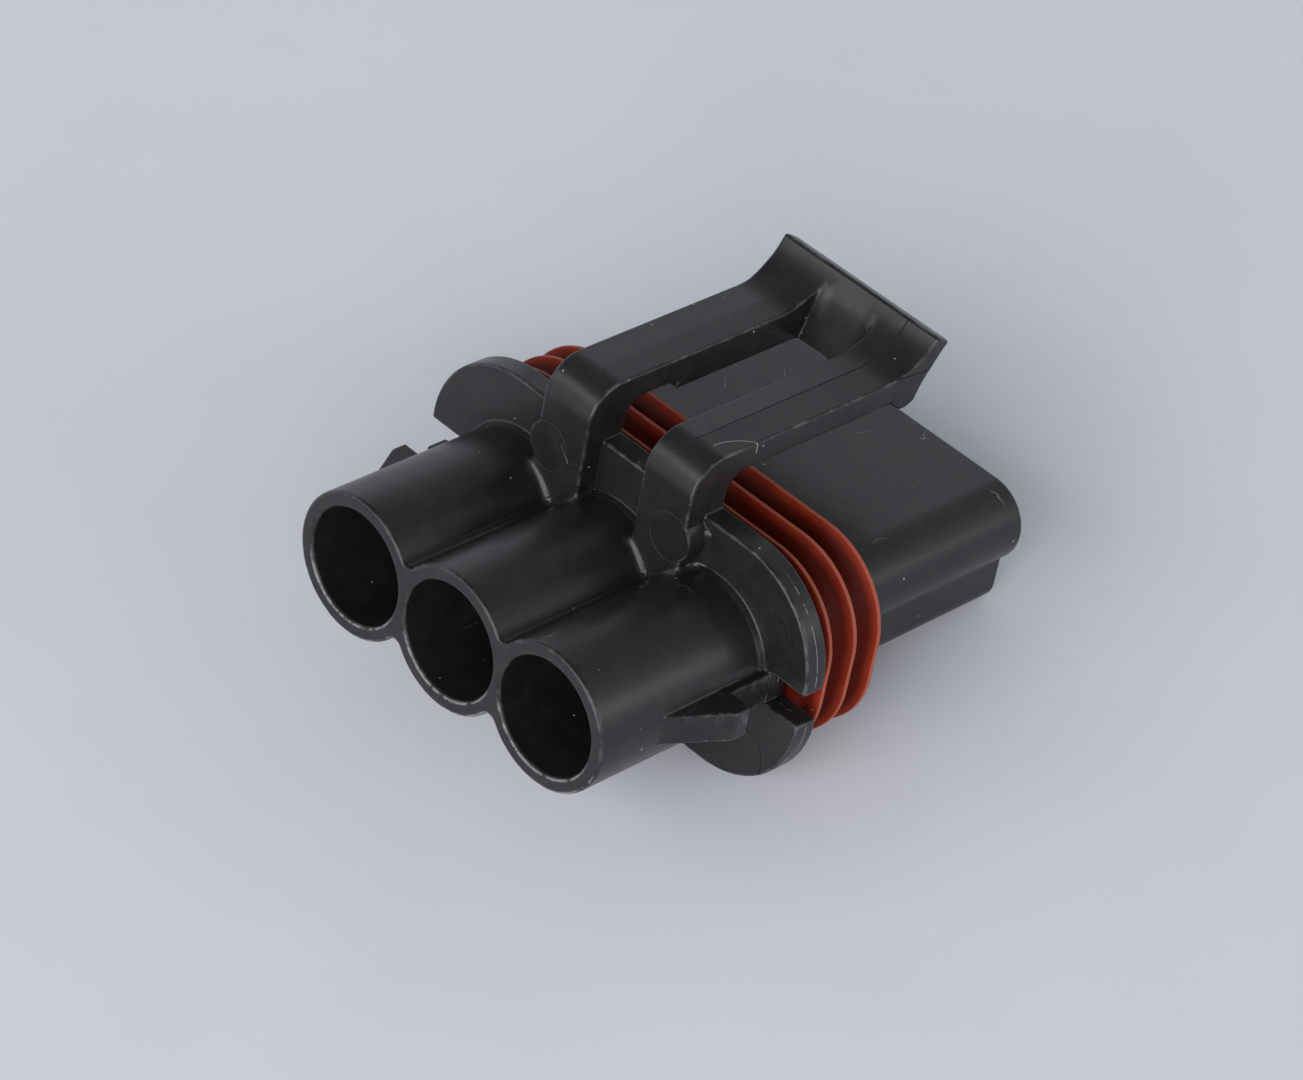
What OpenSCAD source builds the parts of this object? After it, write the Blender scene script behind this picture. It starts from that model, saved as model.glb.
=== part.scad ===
// Three-way sealed connector plug: a moulded housing with three rear wire tubes, a ring seal
// round its neck and a sprung latch loop over its nose. Millimetres, +Z up.
// The part lies on a table as it comes to rest: on the lower edge of its flange and on the lower
// front edge of its nose, so that it leans nose down.
// Shapes are written in the housing's own axes, level and before leaning: +X to the right, +Y the
// way the plug goes into its mate, +Z to the latch, with y = 0 on the tubes' rear face and
// x = z = 0 on the middle tube's axis. lying() then sets every piece down on the table.

/* [Wire tubes] */
// Distance between the axes of neighbouring tubes
pitch = 7.75; // [7.5:0.05:8.6]
// Inside diameter of a tube, where the seal on a wire sits
bore_d = 7; // [6.4:0.1:7.2]
// Outside diameter of a tube
tube_d = 8.85; // [8.4:0.05:9.4]
// Length of the tubes behind the flange
tube_l = 12.35; // [11.5:0.05:16]
// Depth of the round bore in each tube
bore_l = 13.2; // [12.5:0.1:15]
// Rounding in the grooves between two tubes
groove_r = 0.5; // [0.3:0.05:0.8]
// Rounding where a tube meets the flange or a latch post
root_r = 0.4; // [0.2:0.05:0.6]
// Rounding of the tubes' rear edges
mouth_r = 0.25; // [0.1:0.05:0.35]

/* [Flange] */
// Width of the flange
flange_w = 30.4; // [29.4:0.1:32]
// Height of the flange
flange_h = 14.9; // [14:0.1:17]
// Rounding of the flange's four corners
flange_corner = 6.1; // [4:0.1:7]
// Thickness of the flange
flange_t = 1.5; // [1.2:0.05:2.4]
// Chamfer round the flange's rear edge
flange_edge = 0.3; // [0.1:0.05:0.5]
// Height of the notch in each end of the flange
notch_h = 2.1; // [1.6:0.1:3]

/* [Side ramps] */
// Height of the ramps and of the ribs that run from them to the flange
ramp_h = 1.9; // [1.2:0.1:2.4]
// How far a ramp's crest stands out from the tube
ramp_out = 1.95; // [1.2:0.05:2.4]
// Length of a ramp's slope
ramp_l = 4.1; // [2.5:0.05:4.5]
// Length of the flat crest
crest_l = 0.95; // [0.6:0.05:1.6]
// Distance from the ramp's front to the flange
ramp_gap = 3; // [2.5:0.1:4.5]
// How far the rib stands out from the tube
rib_out = 0.45; // [0.2:0.05:0.8]

/* [Neck and nose] */
// Length of the neck in front of the flange
neck_l = 6.2; // [6:0.1:8]
// Length from the flange's front face to the nose's front face
nose_l = 19.6; // [18:0.1:26]
// Width of the nose's upper slab, which has round sides
nose_w = 24.2; // [22:0.1:25]
// Thickness of the upper slab
slab_h = 5.25; // [4.6:0.05:6]
// Height of the nose's top above the tubes' axis
nose_top = 4.25; // [3.4:0.05:4.6]
// Width of the narrower key block under the slab
key_w = 22.3; // [20:0.1:23]
// Depth of the key block's underside below the tubes' axis
nose_low = 3.65; // [3.2:0.05:4.1]
// Rounding of the key block's lower corners
key_r = 1.2; // [0.5:0.1:1.8]

/* [Terminal cavities] */
// Width of the cavity that holds a terminal
cavity_w = 4.4; // [3.6:0.1:5]
// Height of the cavity that holds a terminal
cavity_h = 3.4; // [2.8:0.1:4]
// Length of the cone from the round bore down to the cavity
funnel_l = 1.6; // [1:0.1:2.4]
// Thickness of the nose's front wall
front_wall = 1.2; // [0.8:0.1:2]
// Width of the slot where a blade enters
slot_w = 3.3; // [2.8:0.1:3.8]
// Height of the slot where a blade enters
slot_h = 1.3; // [0.9:0.1:1.8]
// Lead-in chamfer round the slot
slot_lead = 0.5; // [0.2:0.05:0.7]

/* [Ring seal] */
// Overall width of the seal over its ribs
seal_w = 28.6; // [27.6:0.1:29.6]
// Overall height of the seal over its ribs
seal_h = 12.8; // [12.4:0.1:13.8]
// Rounding of the seal's four corners at the ribs
seal_corner = 5.2; // [4:0.1:6]
// Thickness of the seal from the neck out to the ribs
seal_wall = 1.85; // [1.5:0.05:2.1]
// Length of the seal along the neck
seal_l = 6; // [5.6:0.1:6]
// Distance between neighbouring ribs
rib_pitch = 1.95; // [1.6:0.05:2]
// Distance from the seal's front end to its front rib
rib_front = 0.75; // [0.6:0.05:1]
// Depth of the grooves between the ribs
rib_depth = 0.9; // [0.5:0.05:1]
// Thickness of a rib at its root
rib_root = 1.1; // [0.8:0.05:1.3]
// Rounding of a rib's crest
rib_tip_r = 0.3; // [0.15:0.01:0.35]

/* [Latch] */
// Width of the latch over both legs
latch_w = 11.8; // [11.2:0.1:13]
// Width of each leg
leg_w = 3.7; // [3.2:0.1:3.9]
// Thickness of the legs where they run over the nose
leg_t = 1.65; // [1.2:0.05:2]
// How far the posts stand out behind the flange
post_back = 1.4; // [1:0.05:2]
// Rounding between a post's outer side and the flange
post_r = 1; // [0.4:0.1:1]
// Height of the latch's top above the tubes' axis
latch_top = 11.2; // [11:0.1:12.6]
// Rounding of the bend at the top of the posts
bend_r = 2.2; // [1.4:0.1:2.6]
// Rounding of the hollow corner between a post and its leg
under_r = 1.3; // [0.6:0.1:1.5]
// Where the latch starts to bend, above the flange's top
hinge_up = 0.2; // [0.1:0.05:0.4]
// Distance from the flange's rear face to the start of the lip's curve
leg_l = 13.25; // [12:0.05:14.5]
// Radius of the lip's hollow upper curve
lip_r = 4.3; // [3:0.1:5]
// Slope of the lip at its tip
lip_slope = 60; // [50:1:65]
// Thickness of the lip at its tip
lip_t = 1.25; // [0.9:0.05:1.5]
// Radius of the lip's slightly hollow front
lip_front_r = 9; // [6:0.5:20]
// Length of the window between the posts and the cross bar
window_l = 13.6; // [12.6:0.1:14]
// Slope of the cross bar's rear wall
wall_slope = 68; // [65:1:85]
// How far the cross bar under the lip reaches below the legs
bar_drop = 0.6; // [0.2:0.05:0.8]
// Thickness of the cross bar under the lip
bar_t = 1.05; // [0.9:0.05:1.3]
// Height of the sloping heel under the cross bar's front
heel_h = 0.35; // [0.2:0.05:0.4]
// Width of the thicker strip along each leg's inner edge
strip_w = 1.2; // [0.6:0.1:2]
// Distance from the flange's rear face to the start of those strips
strip_start = 5.4; // [4:0.1:8]

/* [Hidden] */
$fn = 96;
WAYS = [-1, 0, 1];
SIDES = [-1, 1];
RIBS = [0, 1, 2];
eps = 0.01;
groove_bite = 0.03;
ramp_sink = 0.25;
far = 60;
over = 1;

tube_r = tube_d / 2;
bore_r = bore_d / 2;
flange_top = flange_h / 2;
flange_y = tube_l;
flange_front = flange_y + flange_t;
flange_mid = flange_y + flange_t / 2;
nose_y = flange_front + nose_l;
neck_front = flange_front + neck_l;
slab_r = slab_h / 2;
slab_z = nose_top - slab_r;
tube_side = pitch + tube_r;
rib_side = tube_side + rib_out;

seal_x = seal_w / 2 - seal_corner;
seal_z = seal_h / 2 - seal_corner;
seal_body_r = seal_corner - rib_depth;
neck_w = seal_w - 2 * seal_wall;
neck_h = seal_h - 2 * seal_wall;
neck_corner = seal_corner - seal_wall;

latch_side = latch_w / 2;
window_side = latch_side - leg_w;
post_y = flange_y - post_back;
leg_low = latch_top - leg_t;
bar_low = leg_low - bar_drop;
hinge_z = flange_top + hinge_up;
curve_y = flange_y + leg_l;
curve_z = latch_top + lip_r;
tip_y = curve_y + lip_r * sin(lip_slope);
tip_z = curve_z - lip_r * cos(lip_slope);
edge_y = tip_y + lip_t * sin(lip_slope);
edge_z = tip_z - lip_t * cos(lip_slope);
bar_y = flange_front + window_l;
heel_y = bar_y + bar_t;
heel_z = bar_low + heel_h;

// Lean at which the flange's lower edge and the nose's lower front edge both touch the table
lean = atan((flange_top - nose_low) / nose_l);
lift = flange_top * cos(lean) + flange_front * sin(lean);
rear_reach = mouth_r * cos(lean) - (tube_r - mouth_r) * sin(lean) - mouth_r;
front_reach = nose_y * cos(lean) + nose_top * sin(lean);
middle = (rear_reach + front_reach) / 2;

// Sets a piece down on the table, with the origin under the middle of the part
module lying() {
    translate([0, -middle, lift]) rotate([-lean, 0, 0]) children();
}

// A flat outline, drawn with x across and y up, stretched along Y from one place to another
module along_y(from, to) {
    translate([0, to, 0]) rotate([90, 0, 0]) linear_extrude(to - from) children();
}

// A side view, drawn with x along Y and y up, stretched along X from one place to another
module along_x(from, to) {
    translate([from, 0, 0]) rotate([90, 0, 90]) linear_extrude(to - from) children();
}

// A profile of radius and length turned about a line along Y, with its length from y = 0
module turned() {
    rotate([-90, 0, 0]) rotate_extrude() children();
}

// A rectangle with rounded corners, about the axis
module rounded(w, h, r) {
    square([w - 2 * r, h], center = true);
    square([w, h - 2 * r], center = true);
    for (side = SIDES, end = SIDES)
        translate([side * (w / 2 - r), end * (h / 2 - r)]) circle(r);
}

// A section of radius and length, taken round the corners and along the sides of a rectangle
// whose corners lie at x and z; the section reaches in to the rectangle's own edge
module ring_of(x, z) {
    for (side = SIDES, end = SIDES) translate([side * x, 0, end * z]) turned() children();
    for (end = SIDES) scale([1, 1, end]) translate([0, 0, z])
        along_x(-x, x) mirror([1, -1]) children();
    for (side = SIDES) scale([side, 1, 1]) translate([x, 0, -z])
        linear_extrude(2 * z) children();
}

// A tube's outside, with its rear edge rounded
module tube_outside() {
    turned() {
        difference() {
            square([tube_r, flange_mid]);
            translate([tube_r - mouth_r, 0]) square(mouth_r);
        }
        translate([tube_r - mouth_r, mouth_r]) circle(mouth_r);
    }
}

// The hollow corner between a tube and a face in front of it
module root_fillet(y) {
    inner = (tube_r + bore_r) / 2;
    translate([0, y - root_r, 0]) turned() difference() {
        translate([inner, 0]) square([tube_r + root_r - inner, 2 * root_r]);
        translate([tube_r + root_r, 0]) circle(root_r);
    }
}

// Fills the sharp valley between two neighbouring tubes up to a rounded groove, which meets the
// tubes in a faint edge
module groove_fill() {
    reach = tube_r + groove_r - groove_bite;
    centre_z = sqrt(reach * reach - pitch * pitch / 4);
    difference() {
        square([pitch / 2, 2 * centre_z * tube_r / (tube_r + groove_r)], center = true);
        for (side = SIDES) translate([0, side * centre_z]) circle(groove_r);
    }
}

module tubes() {
    for (way = WAYS) translate([way * pitch, 0, 0]) {
        tube_outside();
        root_fillet(flange_y);
    }
    for (side = SIDES) translate([side * pitch / 2, 0, 0])
        along_y(0, flange_mid) groove_fill();
}

module flange() {
    x = flange_w / 2 - flange_corner;
    z = flange_top - flange_corner;
    difference() {
        union() {
            translate([0, flange_y, 0]) ring_of(x, z) polygon([
                [0, 0], [flange_corner - flange_edge, 0], [flange_corner, flange_edge],
                [flange_corner, flange_t], [0, flange_t]]);
            along_y(flange_y, flange_front) square([2 * x, 2 * z], center = true);
        }
        for (side = SIDES) translate([side * (rib_side + far / 2), flange_y, 0])
            cube([far, far, notch_h], center = true);
    }
}

// A ramp on each outer tube, with a rib from it to the flange
module side_ramps() {
    ramp_end = flange_y - ramp_gap;
    crest = ramp_end - crest_l;
    for (side = SIDES) scale([side, 1, 1]) translate([0, 0, -ramp_h / 2])
        linear_extrude(ramp_h) polygon([
            [pitch, crest - ramp_l], [tube_side - ramp_sink, crest - ramp_l],
            [tube_side + ramp_out, crest], [tube_side + ramp_out, ramp_end],
            [rib_side, ramp_end], [rib_side, flange_front], [pitch, flange_front]]);
}

// The lower half of each latch post, which stands on two tubes and on the flange
module posts() {
    for (side = SIDES) scale([side, 1, 1]) {
        translate([window_side, post_y, 0]) cube([leg_w, flange_front - post_y, hinge_z]);
        intersection() {
            for (way = [0, 1]) translate([way * pitch, 0, 0]) root_fillet(post_y);
            translate([window_side, 0, 0]) cube([leg_w, flange_y, hinge_z]);
        }
        translate([latch_side, flange_y]) linear_extrude(flange_top - 2 * flange_edge) difference() {
            translate([-post_r / 2, -post_r]) square([1.5 * post_r, post_r + flange_t / 2]);
            translate([post_r, -post_r]) circle(post_r);
        }
    }
}

module nose_outline() {
    for (side = SIDES) translate([side * (nose_w / 2 - slab_r), slab_z]) circle(slab_r);
    translate([slab_r - nose_w / 2, slab_z - slab_r]) square([nose_w - 2 * slab_r, slab_h]);
    for (side = SIDES) translate([side * (key_w / 2 - key_r), key_r - nose_low]) circle(key_r);
    translate([key_r - key_w / 2, -nose_low]) square([key_w - 2 * key_r, key_r + eps]);
    translate([-key_w / 2, key_r - nose_low]) square([key_w, slab_z + nose_low - key_r]);
}

// A tube's bore, the funnel, the terminal's cavity and the slot for a blade
module way_hollow() {
    cavity_end = nose_y - front_wall;
    translate([0, -eps, 0]) turned() polygon([
        [0, 0], [bore_r + mouth_r / 2, 0], [bore_r, mouth_r / 2 + eps], [bore_r, bore_l + eps],
        [cavity_h / 2, bore_l + funnel_l], [0, bore_l + funnel_l]]);
    translate([-cavity_w / 2, bore_l, -cavity_h / 2])
        cube([cavity_w, cavity_end - bore_l, cavity_h]);
    translate([-slot_w / 2, cavity_end - eps, -slot_h / 2])
        cube([slot_w, front_wall + 2 * eps, slot_h]);
    slot_mouth();
}

// The lead-in round a blade's slot
module slot_mouth() {
    along_x(-slot_w / 2, slot_w / 2) polygon([
        [nose_y - slot_lead, slot_h / 2], [nose_y + eps, slot_h / 2 + slot_lead],
        [nose_y + eps, -slot_h / 2 - slot_lead], [nose_y - slot_lead, -slot_h / 2]]);
    translate([0, 0, -slot_h / 2]) linear_extrude(slot_h) polygon([
        [slot_w / 2, nose_y - slot_lead], [slot_w / 2 + slot_lead, nose_y + eps],
        [-slot_w / 2 - slot_lead, nose_y + eps], [-slot_w / 2, nose_y - slot_lead]]);
}

module housing() {
    color("#3a3c3e") lying() difference() {
        union() {
            tubes();
            flange();
            side_ramps();
            posts();
            along_y(flange_mid, neck_front) rounded(neck_w, neck_h, neck_corner);
            along_y(flange_front + neck_l / 2, nose_y) nose_outline();
        }
        for (way = WAYS) translate([way * pitch, 0, 0]) way_hollow();
    }
}

// The seal's section on one side: its plain body and its ribs, from the flange forward
module seal_section() {
    crest = seal_corner - rib_tip_r;
    square([seal_body_r, seal_l]);
    for (rib = RIBS) translate([0, seal_l - rib_front - rib * rib_pitch]) {
        polygon([
            [0, -rib_root / 2], [seal_body_r, -rib_root / 2], [crest, -rib_tip_r],
            [crest, rib_tip_r], [seal_body_r, rib_root / 2], [0, rib_root / 2]]);
        translate([crest, 0]) circle(rib_tip_r);
    }
}

module seal() {
    color("#b5402c") lying() difference() {
        translate([0, flange_front, 0]) ring_of(seal_x, seal_z) seal_section();
        along_y(flange_front - over, neck_front + over) rounded(neck_w, neck_h, neck_corner);
    }
}

// The latch seen from the side: post, bend, leg and upturned lip
module latch_side_view() {
    front = [edge_y - heel_y, edge_z - heel_z];
    front_l = norm(front);
    hollow = sqrt(lip_front_r * lip_front_r - front_l * front_l / 4) / front_l;
    difference() {
        polygon([
            [post_y, hinge_z], [flange_front, hinge_z], [flange_front, leg_low],
            [bar_y - bar_drop, leg_low], [bar_y, bar_low], [heel_y - 2 * heel_h, bar_low],
            [heel_y + over, heel_z + over / 2], [edge_y + sin(lip_slope), edge_z - cos(lip_slope)],
            [tip_y, tip_z], [curve_y, curve_z], [curve_y, latch_top], [post_y, latch_top]]);
        translate([curve_y, curve_z]) circle(lip_r);
        translate([heel_y + front.x / 2 + hollow * front.y, heel_z + front.y / 2 - hollow * front.x])
            circle(lip_front_r);
        translate([post_y, latch_top - bend_r]) difference() {
            translate([-over, 0]) square(bend_r + over);
            translate([bend_r, 0]) circle(bend_r);
        }
    }
    translate([flange_front, leg_low - under_r]) difference() {
        translate([-eps, 0]) square(under_r + eps);
        translate([under_r, 0]) circle(under_r);
    }
}

module latch() {
    wall = 1 / tan(wall_slope);
    color("#414346") lying() {
        difference() {
            along_x(-latch_side, latch_side) latch_side_view();
            along_x(-window_side, window_side) polygon([
                [post_y - over, 0], [bar_y - bar_low * wall, 0],
                [bar_y + (curve_z - bar_low) * wall, curve_z], [post_y - over, curve_z]]);
        }
        for (side = SIDES) scale([side, 1, 1])
            translate([window_side, flange_y + strip_start, bar_low])
                cube([strip_w, bar_y - flange_y - strip_start, bar_drop + eps]);
    }
}

housing();
seal();
latch();
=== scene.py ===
import math

import bpy
import numpy as np
from mathutils import Euler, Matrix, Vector


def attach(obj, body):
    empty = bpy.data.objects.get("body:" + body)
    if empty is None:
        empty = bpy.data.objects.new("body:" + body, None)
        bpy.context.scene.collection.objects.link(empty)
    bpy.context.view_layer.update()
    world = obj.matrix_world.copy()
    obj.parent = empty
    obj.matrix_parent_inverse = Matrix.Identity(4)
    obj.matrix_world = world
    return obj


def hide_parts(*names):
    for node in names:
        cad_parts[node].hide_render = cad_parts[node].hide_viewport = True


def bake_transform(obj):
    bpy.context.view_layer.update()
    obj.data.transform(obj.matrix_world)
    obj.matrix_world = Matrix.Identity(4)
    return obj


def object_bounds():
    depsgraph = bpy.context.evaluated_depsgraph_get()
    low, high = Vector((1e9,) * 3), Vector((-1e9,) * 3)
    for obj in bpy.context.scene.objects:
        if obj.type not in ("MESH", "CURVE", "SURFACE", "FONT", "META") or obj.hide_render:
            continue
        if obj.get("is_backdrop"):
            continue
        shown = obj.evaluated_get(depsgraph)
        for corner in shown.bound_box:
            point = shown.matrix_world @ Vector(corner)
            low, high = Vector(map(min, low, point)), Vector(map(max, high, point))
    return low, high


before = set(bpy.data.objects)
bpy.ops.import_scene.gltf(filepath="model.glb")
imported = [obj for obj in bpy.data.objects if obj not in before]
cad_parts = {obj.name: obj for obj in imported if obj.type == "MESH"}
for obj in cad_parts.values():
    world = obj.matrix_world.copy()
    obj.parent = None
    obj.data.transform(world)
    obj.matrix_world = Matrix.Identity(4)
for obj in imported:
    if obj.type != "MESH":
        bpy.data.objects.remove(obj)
CAD_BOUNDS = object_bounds()

# The shape is worked out in millimetres in the level frame of the part's source: X across the
# wire tubes, Y along them from their mouths to the nose, Z up. Sizes and places repeat the source.
# Roundings of edges, fillets in corners, the fade and the flare of the lip are only here.
LEAN = math.radians(10.9722)
LIFT, MIDDLE = 9.94993, 16.4241

PITCH, BORE_R, TUBE_R, TUBE_L, BORE_L = 7.75, 3.5, 4.425, 12.35, 13.2
# The fillet between two tubes, the rounding of their mouths outside, and how much wider the
# bores' edges are rounded off over a short length there than the edges of the other hollows.
GROOVE_R, MOUTH_R, BORE_MOUTH_R, BORE_MOUTH_L = 0.5, 0.25, 0.15, 1
# The tubes' fillet against the flange, and how much wider it is against the posts.
ROOT_R, POST_ROOT_R = 0.28, 0.27
FLANGE_SIDE, FLANGE_TOP, FLANGE_CORNER, FLANGE_T = 15.2, 7.45, 6.1, 1.5
FLANGE_Y = TUBE_L
FLANGE_FRONT = FLANGE_Y + FLANGE_T
FLANGE_MID = FLANGE_Y + FLANGE_T / 2
NOTCH_SIDE = 1.05
FLANGE_REAR_R, FLANGE_FACE_R, NOTCH_R = 0.18, 0.14, 0.12
TUBE_SIDE = PITCH + TUBE_R
RIB_SIDE = TUBE_SIDE + 0.45
RAMP_OUT, RAMP_L, CREST_L, RAMP_GAP, RAMP_SIDE, RAMP_SINK = 1.95, 4.1, 0.95, 3.0, 0.95, 0.25
RAMP_END = FLANGE_Y - RAMP_GAP
CREST_X, CREST_Y = TUBE_SIDE + RAMP_OUT, RAMP_END - CREST_L
CREST_R, RAMP_ROOT_R, RAMP_EDGE_R, RIB_EDGE_R = 0.12, 0.12, 0.08, 0.06
# How far parts reach into each other where they meet flat.
LAP, SMALL_LAP = 0.5, 0.05
NECK_SIDE, NECK_TOP, NECK_CORNER = 12.45, 4.55, 3.35
NECK_FRONT, NECK_EDGE_R, NECK_ROOT_R = FLANGE_FRONT + 6.2, 0.15, 0.15
NOSE_Y = FLANGE_FRONT + 19.6
NOSE_SIDE, SLAB_R, NOSE_TOP = 12.1, 2.625, 4.25
KEY_SIDE, NOSE_LOW, KEY_R, KEY_ROOT_R = 11.15, 3.65, 1.2, 0.15
SLAB_Z, NOSE_EDGE_R, NOSE_BACK = NOSE_TOP - SLAB_R, 0.3, NECK_FRONT - 3
CAVITY_SIDE, CAVITY_TOP, FUNNEL_L, FRONT_WALL = 2.2, 1.7, 1.6, 1.2
SLOT_SIDE, SLOT_TOP, SLOT_LEAD, SLOT_LAP = 1.65, 0.65, 0.5, 0.3
HOLLOW_EDGE_R = 0.13
LATCH_SIDE, WINDOW_SIDE = 5.9, 2.2
POST_Y, POST_R = FLANGE_Y - 1.4, 1.0
# The fill in the corner between a post and the flange ends this far under the flange's top.
CORNER_DROP, CORNER_TOP_R = 0.55, 0.5
LATCH_TOP, LEG_T, BEND_R, UNDER_R = 11.2, 1.65, 2.2, 1.3
LEG_LOW = LATCH_TOP - LEG_T
CURVE_Y, LIP_R, LIP_SLOPE, LIP_T, LIP_FRONT_R = FLANGE_Y + 13.25, 4.3, math.radians(60), 1.25, 9.0
CURVE_Z = LATCH_TOP + LIP_R
TIP_Y, TIP_Z = CURVE_Y + LIP_R * math.sin(LIP_SLOPE), CURVE_Z - LIP_R * math.cos(LIP_SLOPE)
EDGE_Y, EDGE_Z = TIP_Y + LIP_T * math.sin(LIP_SLOPE), TIP_Z - LIP_T * math.cos(LIP_SLOPE)
BAR_Y, BAR_LOW, BAR_T, HEEL_H = FLANGE_FRONT + 13.6, LEG_LOW - 0.6, 1.05, 0.35
HEEL_Y, HEEL_Z = BAR_Y + BAR_T, BAR_LOW + HEEL_H
STRIP_SIDE, STRIP_Y = WINDOW_SIDE + 1.2, FLANGE_Y + 5.4
WALL_SLOPE = math.radians(68)
LATCH_ROOT_R, BAR_ROOT_R, STRIP_ROOT_R = 0.1, 0.2, 0.1
# The edges along the loop's sides are rounded off more where they reach the lip's end.
LIP_EDGE_R, TIP_EDGE_R, LOOP_EDGE_R, LOOP_MORE_R = 0.15, 0.14, 0.17, 0.1
# The step from the legs down to the wall behind the latch window fades away over this stretch, and
# the lip flares a little towards its end.
FADE_Y, FADE_L, FADE_SIDE, FADE_RISE = FLANGE_Y + 15.5, 1.1, 1.1, 1.4
WALL_ROOT_R, WALL_EDGE_R, FADE_SINK, FADE_EDGE_R = 0.1, 0.16, 0.15, 0.35
FLARE_Y, FLARE = CURVE_Y + 1, 0.3
# The legs' tops fall away very slightly to both sides of the seam that the mould left on them,
# which lies just under the solid's top.
SEAM_X, SEAM_SINK, CROWN_FALL = 3.85, 0.008, 0.035
# Round pads on the posts where the mould's ejector pins push. They reach past the posts' sides.
PAD_X, PAD_Z, PAD_R, PAD_EDGE_R = 4.9, 5.95, 1.5, 0.06
# Half the width of the lines that the mould left.
SEAM_W, LIP_SEAM_W, POST_SEAM_W, END_SEAM_W, PIN_W = 0.035, 0.045, 0.03, 0.035, 0.045
POST_SEAM_Z, LIP_SEAM_Z, END_SEAM = 8.5, LATCH_TOP + 0.05, -0.13
# How clear the seam along the left leg is, where 1 is the right leg's.
LEFT_SEAM = 0.2
# The rings that ejector pins left, by X, Z, radius, the Y of their face and how clear they are.
PINS = (
    (11.5, -5.25, 1.85, FLANGE_Y, 1.0),
    (12.3, 3.96, 1.05, FLANGE_Y, 0.35),
    (PAD_X, PAD_Z, PAD_R, POST_Y, 0.5),
)
# The outer parts of the flange's rim, where the mould left its line, start here.
RIM_X = 11.0
# A hair on the right leg: the middle of its arc, the arc's radius and the hair's thickness.
FIBRE_X, FIBRE_Y, FIBRE_R, FIBRE_T = 8.0, 13.2, 3.2, 0.036

SEAL_SIDE, SEAL_TOP, SEAL_CORNER = 14.3, 6.4, 5.2
SEAL_WALL, SEAL_L = 1.85, 6.0
RIBS, RIB_PITCH, RIB_FRONT, RIB_DEPTH = 3, 1.95, 0.75, 0.9
# Half of a rib's flat crest, half of a groove's flat floor, and the chamfer at the ring's ends.
RIB_CREST, GROOVE_FLOOR, SEAL_EDGE = 0.1, 0.1, 0.05
# Points along the ring's profile, and steps around each of its corners.
PROFILE_POINTS, CORNER_STEPS = 119, 24

# The moulding is one skin, found on a grid of this pitch and thinned to this many triangles. The
# grid is searched in blocks of cells, some at a time, and only where a block comes near the skin.
GRID, BLOCK, BATCH, TRIANGLES = 0.12, 8, 1500, 185000
NEAR, MARGIN = 0.35, 0.63

# Colours as linear red, green and blue.
BLACK_DEEP, BLACK_PALE = (0.0095, 0.0095, 0.010), (0.0135, 0.0135, 0.014)
BLACK_PATCH, BLACK_WARM = (0.024, 0.023, 0.022), (0.022, 0.020, 0.015)
# The pale grey for chips also paints a highlight along the lower edges of the tubes' mouths.
EDGE_GREY, LINE_BLACK, CHIP_AND_HIGHLIGHT_GREY = (0.10, 0.10, 0.10), (0.001, 0.001, 0.001), (0.30, 0.30, 0.30)
GRIT_BROWN, LINT_GREY = (0.16, 0.14, 0.11), (0.55, 0.55, 0.53)
RED_DEEP, RED_PALE, RED_PATCH = (0.17, 0.0155, 0.006), (0.225, 0.0245, 0.0095), (0.28, 0.05, 0.026)
# The seal's groove colour is painted shade in its grooves, and its crest colour is a painted
# highlight along the ribs' crests.
RED_GROOVE_SHADE, RED_CREST_HIGHLIGHT, RED_DUST = (0.045, 0.0032, 0.0012), (0.42, 0.13, 0.085), (0.6, 0.5, 0.45)
FLOOR_DEEP, FLOOR_PALE = (0.71, 0.715, 0.77), (0.725, 0.73, 0.785)
ROOM_COLOUR = (0.87, 0.935, 1.0)

# The depth in metres of the finest dents and scratches.
BUMP_DEPTH = 0.00004

FLOOR_HALF, LAMP_DISTANCE = 2.0, 1.0
WALL_LIGHT, TOP_LIGHT = 0.92, 0.15


def row(points):
    """Level millimetres to metres in the frame's row, where the part leans on its nose."""
    p = np.asarray(points, float)
    y, z = p[..., 1], p[..., 2]
    along = y * math.cos(LEAN) + z * math.sin(LEAN) - MIDDLE
    up = z * math.cos(LEAN) - y * math.sin(LEAN) + LIFT
    return np.stack([p[..., 0], along, up], -1) / 1000


def row_direction(v):
    """A direction of the level frame in the row."""
    v = np.asarray(v, float)
    up = v[..., 2] * math.cos(LEAN) - v[..., 1] * math.sin(LEAN)
    return np.stack([v[..., 0], v[..., 1] * math.cos(LEAN) + v[..., 2] * math.sin(LEAN), up], -1)


# Distances are negative inside. ax is the distance from the middle plane, as both halves match.
def both(*parts):
    """What lies inside every part."""
    d = parts[0]
    for part in parts[1:]:
        d = np.maximum(d, part)
    return d


def joined(a, b, r):
    """Either part, with a fillet of radius r in the corner between them."""
    return np.maximum(r, np.minimum(a, b)) - np.hypot(np.maximum(r - a, 0), np.maximum(r - b, 0))


def rounded(a, b, r):
    """What lies inside both parts, with their edge rounded off at radius r."""
    return np.minimum(-r, np.maximum(a, b)) + np.hypot(np.maximum(r + a, 0), np.maximum(r + b, 0))


def block(u, v, side, top, corner):
    """A rectangle with rounded corners, from half its width and half its height."""
    du, dv = np.abs(u) - (side - corner), np.abs(v) - (top - corner)
    outside = np.hypot(np.maximum(du, 0), np.maximum(dv, 0))
    return np.minimum(np.maximum(du, dv), 0) + outside - corner


def eased(share):
    """0 up to 0, 1 from 1 on and smooth between them."""
    share = np.clip(share, 0, 1)
    return share * share * (3 - 2 * share)


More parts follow.
